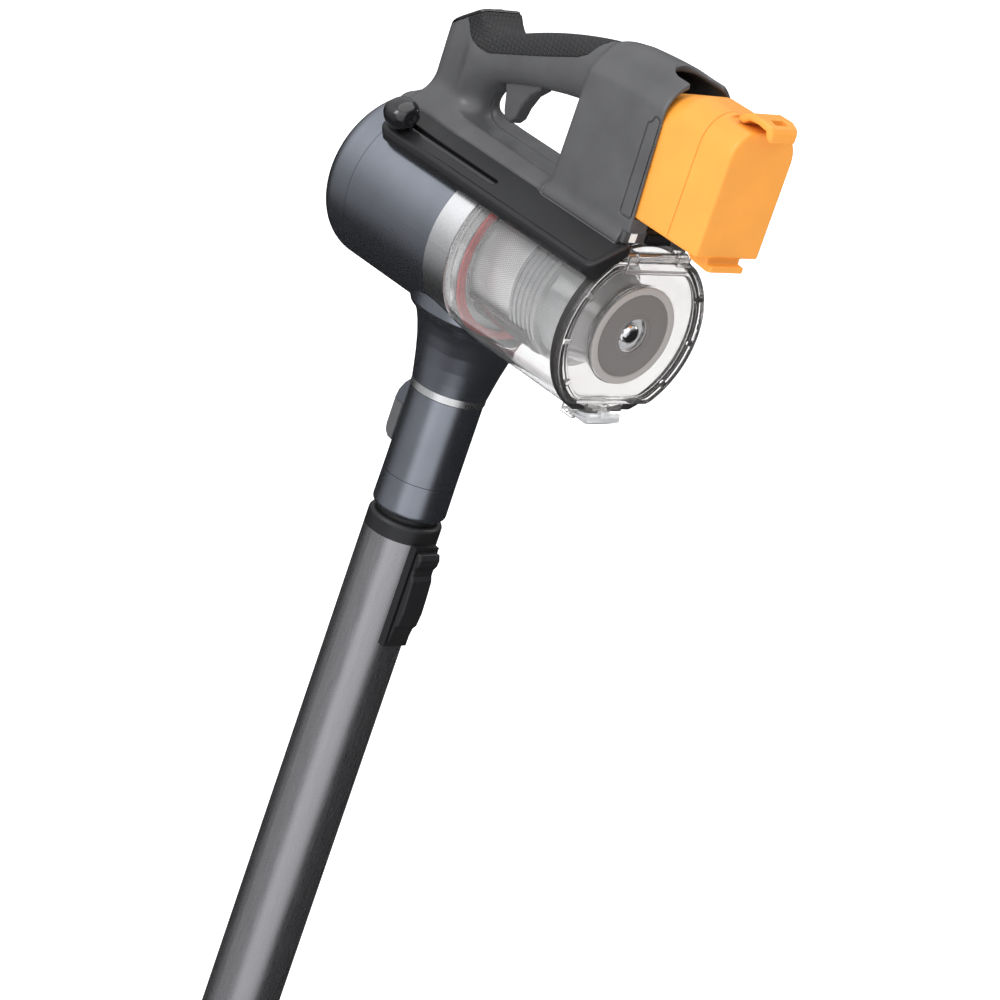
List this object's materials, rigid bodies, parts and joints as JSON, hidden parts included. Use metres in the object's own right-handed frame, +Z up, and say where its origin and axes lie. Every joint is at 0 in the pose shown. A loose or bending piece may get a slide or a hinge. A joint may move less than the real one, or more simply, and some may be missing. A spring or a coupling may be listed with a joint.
{
  "type": "cordless stick vacuum",
  "caption": "Cordless stick vacuum with clear dust bin, compactor lever, slide-in battery, telescopic wand and powered floor head.",
  "frame": {"origin": "on the floor under the sole plate of the floor head, straight below the wand's axis", "axes": "+Z up along the wand, +Y to the rear where the dust bin lid and the battery are, +X to the side that carries the compactor lever"},
  "size_m": [0.25, 0.282, 0.9323],
  "materials": {
    "metallic_grey": "satin metallic blue-grey",
    "trim_metal": "brushed",
    "tube_grey": "satin anodised",
    "tube_bright": "satin",
    "dark_plastic": "fine satin",
    "black_plastic": "satin",
    "black_gloss": "gloss",
    "grip_rubber": "fine texture",
    "clear_bin": "clear, lightly tinted",
    "clear_part": "clear",
    "lid_grey": "smoky",
    "disc_grey": "satin",
    "mesh_metal": "perforated",
    "steel": "satin",
    "chrome_knob": "polished",
    "seal_red": "matt",
    "gasket_dark": "matt",
    "battery_orange": "fine satin",
    "cell_wrap": "gloss sleeve",
    "filter_white": "pleated",
    "board_green": "printed board",
    "copper_motor": "wound",
    "roller_fabric": "soft pile",
    "belt_rubber": "matt",
    "wheel_rubber": "matt"
  },
  "bodies": {
    "handheld": {"motor_housing": "metallic_grey", "inlet_neck": "metallic_grey", "neck_trim_ring": "trim_metal", "inlet_collar": "metallic_grey", "collar_end_ring": "metallic_grey", "bin_trim_ring": "trim_metal", "handle_left": "dark_plastic", "handle_right": "dark_plastic", "grip_pad": "grip_rubber", "control_panel": "black_gloss", "battery_housing": "dark_plastic", "rear_bulkhead": "dark_plastic", "lever_rail": "black_plastic", "motor_case": "copper_motor", "pre_filter": "filter_white", "mesh_filter": "mesh_metal", "cyclone_collar": "clear_part", "cyclone_cones": "clear_part", "trigger_pin": "steel", "control_board": "board_green"},
    "rotor": {"impeller": "tube_bright", "rotor_shaft": "steel"},
    "filter": {"exhaust_filter": "filter_white"},
    "cap": {"exhaust_cap": "metallic_grey"},
    "wand_button": {"wand_release": "metallic_grey"},
    "trigger": {"trigger": "dark_plastic"},
    "power": {"power_button": "disc_grey"},
    "suction": {"suction_button": "disc_grey"},
    "compactor": {"compactor_lever": "black_gloss", "compactor_ring": "clear_part", "compactor_seal": "seal_red"},
    "bin": {"dust_bin": "clear_bin", "lid_hinge_pin": "steel"},
    "lid": {"bin_lid": "lid_grey", "lid_gasket": "gasket_dark", "lid_disc": "disc_grey", "lid_knob": "chrome_knob"},
    "latch": {"lid_latch": "clear_part"},
    "bin_button": {"bin_release": "black_gloss"},
    "battery": {"battery_case": "battery_orange", "battery_end_cap": "battery_orange", "battery_cells": "cell_wrap"},
    "clip": {"battery_clip": "battery_orange"},
    "wand": {"inner_tube": "tube_bright", "wand_fitting": "black_plastic"},
    "outer_wand": {"outer_tube": "tube_grey", "tube_collar": "black_plastic", "lower_socket": "black_plastic"},
    "lock": {"length_lock": "dark_plastic"},
    "foot_button": {"head_release": "dark_plastic"},
    "neck": {"head_neck": "dark_plastic"},
    "yoke": {"head_yoke": "dark_plastic"},
    "head": {"head_shell": "dark_plastic", "sole_plate": "black_plastic", "head_motor": "steel", "drive_belt": "belt_rubber"},
    "roller": {"brush_roller": "roller_fabric"},
    "pulley": {"motor_pulley": "steel"},
    "left_wheel": {"wheel_left": "wheel_rubber"},
    "right_wheel": {"wheel_right": "wheel_rubber"}
  },
  "joints": [
    {"name": "rotor_spin", "type": "hinge", "parent": "handheld", "child": "rotor", "pos_m": [0, 0, 0.78], "axis": [0, 1, 0], "continuous": true},
    {"name": "filter_pull", "type": "slide", "parent": "handheld", "child": "filter", "axis": [0, -1, 0], "range_m": [0, 0.06]},
    {"name": "cap_twist", "type": "hinge", "parent": "filter", "child": "cap", "pos_m": [0, -0.09, 0.78], "axis": [0, 1, 0], "range_deg": [0, 25]},
    {"name": "wand_button_press", "type": "slide", "parent": "handheld", "child": "wand_button", "axis": [0, 1, 0], "range_m": [0, 0.0012], "stiffness_N_per_m": 600, "springref_m": -0.002},
    {"name": "trigger_pull", "type": "hinge", "parent": "handheld", "child": "trigger", "pos_m": [0, -0.026, 0.8755], "axis": [1, 0, 0], "range_deg": [0, 10], "stiffness_Nm_per_rad": 0.4, "springref_deg": -11.46},
    {"name": "power_press", "type": "slide", "parent": "handheld", "child": "power", "axis": [0, 0.5878, -0.809], "range_m": [0, 0.0012], "stiffness_N_per_m": 600, "springref_m": -0.002},
    {"name": "suction_press", "type": "slide", "parent": "handheld", "child": "suction", "axis": [0, 0.5878, -0.809], "range_m": [0, 0.0012], "stiffness_N_per_m": 600, "springref_m": -0.002},
    {"name": "compactor_slide", "type": "slide", "parent": "handheld", "child": "compactor", "axis": [0, 1, 0], "range_m": [0, 0.074]},
    {"name": "bin_removal", "type": "slide", "parent": "handheld", "child": "bin", "axis": [0, 1, 0], "range_m": [0, 0.11]},
    {"name": "lid_swing", "type": "hinge", "parent": "bin", "child": "lid", "pos_m": [0, 0.118, 0.8265], "axis": [1, 0, 0], "range_deg": [0, 90]},
    {"name": "latch_swing", "type": "hinge", "parent": "bin", "child": "latch", "pos_m": [0, 0.1065, 0.726], "axis": [1, 0, 0], "range_deg": [-12, 0], "stiffness_Nm_per_rad": 0.4, "springref_deg": 11.46},
    {"name": "bin_button_press", "type": "slide", "parent": "handheld", "child": "bin_button", "axis": [0, -1, 0], "range_m": [0, 0.0012], "stiffness_N_per_m": 600, "springref_m": -0.002},
    {"name": "battery_slide", "type": "slide", "parent": "handheld", "child": "battery", "axis": [0, 1, 0], "range_m": [-0.05, 0.06]},
    {"name": "clip_press", "type": "hinge", "parent": "battery", "child": "clip", "pos_m": [0, 0.154, 0.9247], "axis": [1, 0, 0], "range_deg": [-5, 0], "stiffness_Nm_per_rad": 0.4, "springref_deg": 11.46},
    {"name": "wand_detach", "type": "slide", "parent": "handheld", "child": "wand", "axis": [0, 0, -1], "range_m": [0, 0.09]},
    {"name": "wand_extend", "type": "slide", "parent": "wand", "child": "outer_wand", "axis": [0, 0, -1], "range_m": [0, 0.22]},
    {"name": "lock_slide", "type": "slide", "parent": "outer_wand", "child": "lock", "axis": [0, 0, -1], "range_m": [0, 0.008], "stiffness_N_per_m": 400, "springref_m": -0.003},
    {"name": "foot_button_press", "type": "slide", "parent": "outer_wand", "child": "foot_button", "axis": [0, -1, 0], "range_m": [0, 0.0012], "stiffness_N_per_m": 600, "springref_m": -0.002},
    {"name": "head_detach", "type": "slide", "parent": "outer_wand", "child": "neck", "axis": [0, 0, -1], "range_m": [0, 0.05]},
    {"name": "head_swivel", "type": "hinge", "parent": "neck", "child": "yoke", "pos_m": [0, 0, 0.066], "axis": [0, 1, 0], "range_deg": [-40, 40]},
    {"name": "head_pitch", "type": "hinge", "parent": "yoke", "child": "head", "pos_m": [0, 0, 0.03], "axis": [1, 0, 0], "range_deg": [0, 75]},
    {"name": "motor_spin", "type": "hinge", "parent": "head", "child": "pulley", "pos_m": [0.1, -0.02, 0.033], "axis": [1, 0, 0], "continuous": true},
    {"name": "roller_spin", "type": "hinge", "parent": "head", "child": "roller", "pos_m": [0, -0.062, 0.022], "axis": [1, 0, 0], "continuous": true},
    {"name": "left_wheel_spin", "type": "hinge", "parent": "head", "child": "left_wheel", "pos_m": [-0.103, 0.012, 0.009], "axis": [1, 0, 0], "continuous": true},
    {"name": "right_wheel_spin", "type": "hinge", "parent": "head", "child": "right_wheel", "pos_m": [0.103, 0.012, 0.009], "axis": [1, 0, 0], "continuous": true}
  ],
  "couplings": [
    {"joint": "motor_spin", "follows": "roller_spin", "ratio": 2}
  ]
}
